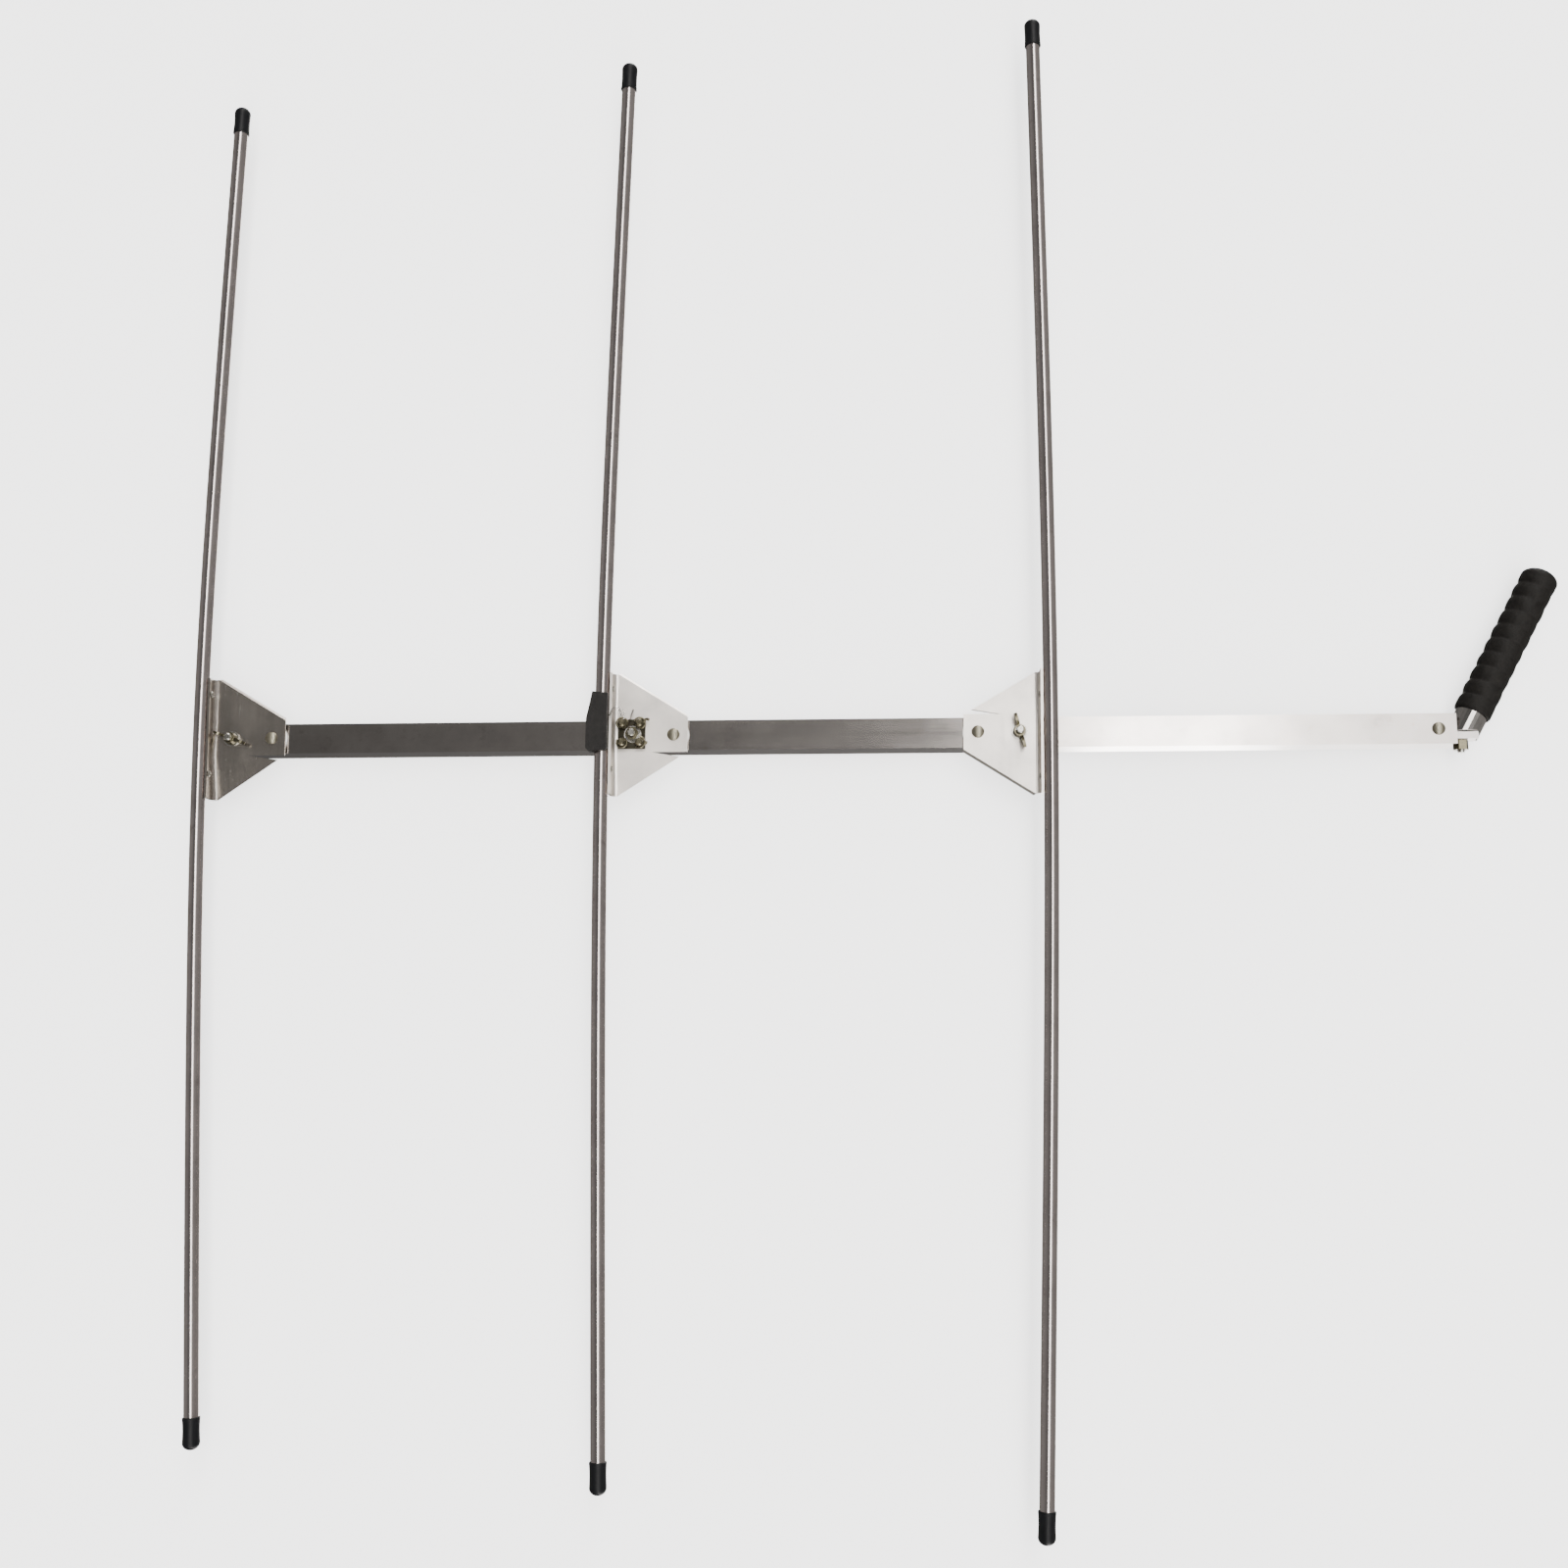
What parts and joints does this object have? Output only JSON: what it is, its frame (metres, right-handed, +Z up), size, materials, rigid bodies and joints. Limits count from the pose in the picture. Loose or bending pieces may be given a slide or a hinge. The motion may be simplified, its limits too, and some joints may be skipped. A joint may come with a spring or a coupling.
{
  "type": "yagi antenna",
  "caption": "Hand-held folding yagi antenna: square boom, bowed tube elements on turning sheet brackets, and a leaning rubber grip at the boom's end.",
  "frame": {"origin": "centre of the bounding box's base, on the surface the antenna lies on", "axes": "+X along the boom towards the handle, +Y along the elements, +Z up from the surface towards the brackets' front"},
  "size_m": [0.9045, 1.003, 0.0388],
  "materials": {
    "boom_aluminium": "satin extruded, fine lines along its length",
    "element_aluminium": "drawn tube, satin",
    "bracket_aluminium": "bent sheet, satin with light wear",
    "handle_aluminium": "satin",
    "black_rubber": "soft sheen",
    "grip_rubber": "moulded, ribbed, dusty",
    "black_plastic": "matte",
    "nylon": "milky",
    "tinned_wire": "bright tinned",
    "rivet_metal": "dull",
    "aged_metal": "tarnished",
    "plated_steel": "zinc plated"
  },
  "bodies": {
    "boom_assembly": {"boom": "boom_aluminium", "boom_end_plug": "black_plastic", "director_pivot_rivet": "rivet_metal", "driven_pivot_rivet": "rivet_metal", "reflector_pivot_rivet": "rivet_metal", "handle_rivet": "rivet_metal", "handle_tongue": "handle_aluminium", "handle_tube": "handle_aluminium", "handle_grip": "grip_rubber", "handle_bolt": "plated_steel", "handle_nut": "aged_metal"},
    "director_element": {"director_bracket": "bracket_aluminium", "director_tube": "element_aluminium", "director_cap_upper": "black_rubber", "director_cap_lower": "black_rubber", "director_tube_rivet_upper": "plated_steel", "director_tube_rivet_lower": "plated_steel", "director_nylon_disc": "nylon", "director_lock_bolt": "plated_steel", "director_lock_washer": "plated_steel"},
    "driven_element": {"driven_bracket": "bracket_aluminium", "driven_tube": "element_aluminium", "driven_cap_upper": "black_rubber", "driven_cap_lower": "black_rubber", "driven_tube_rivet_upper": "plated_steel", "driven_tube_rivet_lower": "plated_steel", "driven_nylon_disc": "nylon", "driven_lock_bolt": "plated_steel", "driven_lock_washer": "plated_steel", "driven_lock_nut": "aged_metal", "feed_block": "black_plastic", "feed_strip": "aged_metal", "feed_terminal_a": "aged_metal", "feed_terminal_b": "aged_metal", "feed_terminal_c": "aged_metal", "feed_terminal_d": "aged_metal", "feed_wire_loop": "tinned_wire", "feed_wire_short": "tinned_wire"},
    "reflector_element": {"reflector_bracket": "bracket_aluminium", "reflector_tube": "element_aluminium", "reflector_cap_upper": "black_rubber", "reflector_cap_lower": "black_rubber", "reflector_tube_rivet_upper": "plated_steel", "reflector_tube_rivet_lower": "plated_steel", "reflector_nylon_disc": "nylon", "reflector_lock_bolt": "plated_steel", "reflector_lock_washer": "plated_steel"},
    "director_wing": {"director_wing_nut": "aged_metal"},
    "reflector_wing": {"reflector_wing_nut": "aged_metal"}
  },
  "joints": [
    {"name": "director_fold", "type": "hinge", "parent": "boom_assembly", "child": "director_element", "pos_m": [-0.39994, 0.00041, 0.014], "axis": [0, 0, 1], "range_deg": [0, 76]},
    {"name": "driven_fold", "type": "hinge", "parent": "boom_assembly", "child": "driven_element", "pos_m": [-0.12794, 0.00041, 0.014], "axis": [0, 0, 1], "range_deg": [0, 76]},
    {"name": "reflector_fold", "type": "hinge", "parent": "boom_assembly", "child": "reflector_element", "pos_m": [0.07256, 0.00041, 0.014], "axis": [0, 0, 1], "range_deg": [0, 76]},
    {"name": "director_wing_spin", "type": "hinge", "parent": "director_element", "child": "director_wing", "pos_m": [-0.42694, -0.00001, 0.0278], "axis": [0, 0, 1], "continuous": true},
    {"name": "reflector_wing_spin", "type": "hinge", "parent": "reflector_element", "child": "reflector_wing", "pos_m": [0.09956, 0.00013, 0.0278], "axis": [0, 0, 1], "continuous": true}
  ],
  "couplings": [
    {"joint": "driven_fold", "follows": "director_fold", "ratio": 1},
    {"joint": "reflector_fold", "follows": "director_fold", "ratio": 1}
  ]
}
